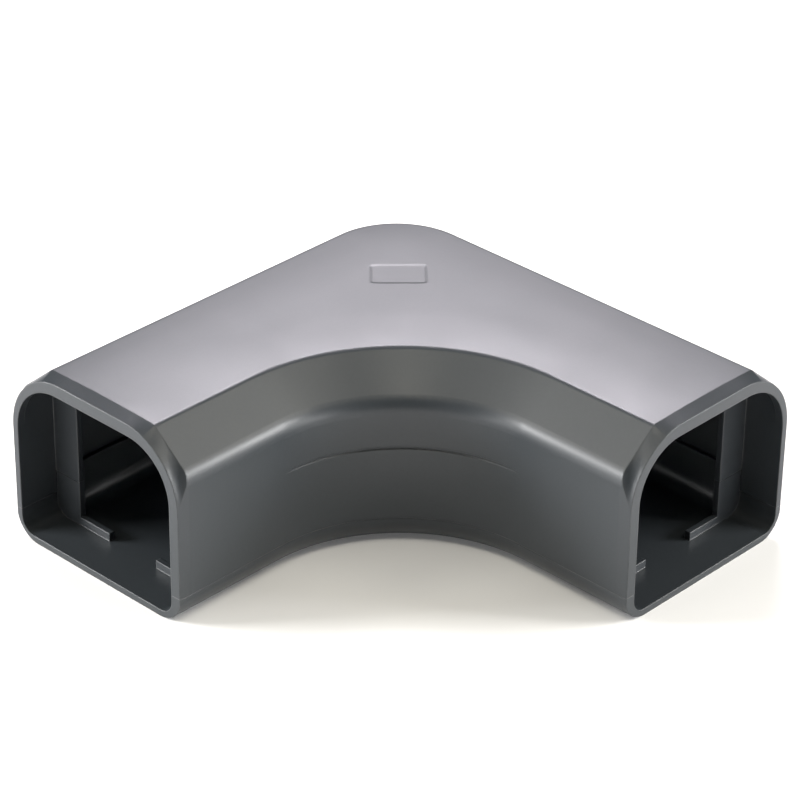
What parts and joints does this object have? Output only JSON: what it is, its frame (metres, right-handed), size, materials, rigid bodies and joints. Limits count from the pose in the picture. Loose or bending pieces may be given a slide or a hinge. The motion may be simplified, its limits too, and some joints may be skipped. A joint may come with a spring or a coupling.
{
  "type": "flat duct elbow",
  "caption": "Flat right-angle elbow of a surface-mounted pipe duct: rectangular section with bevelled shoulders, cover snapped over a screw-on base tray, open mouths for straight duct.",
  "frame": {"origin": "where the centre lines of the two legs cross, on the underside of the base", "axes": "+Z away from the wall the base is screwed to, +X along one leg toward its mouth, -Y along the other leg toward its mouth"},
  "size_m": [0.181, 0.181, 0.068],
  "materials": {
    "cover_plastic": "satin grey moulded plastic",
    "base_plastic": "satin grey moulded plastic"
  },
  "bodies": {
    "root": {"cover": "cover_plastic", "base": "base_plastic"}
  },
  "joints": []
}
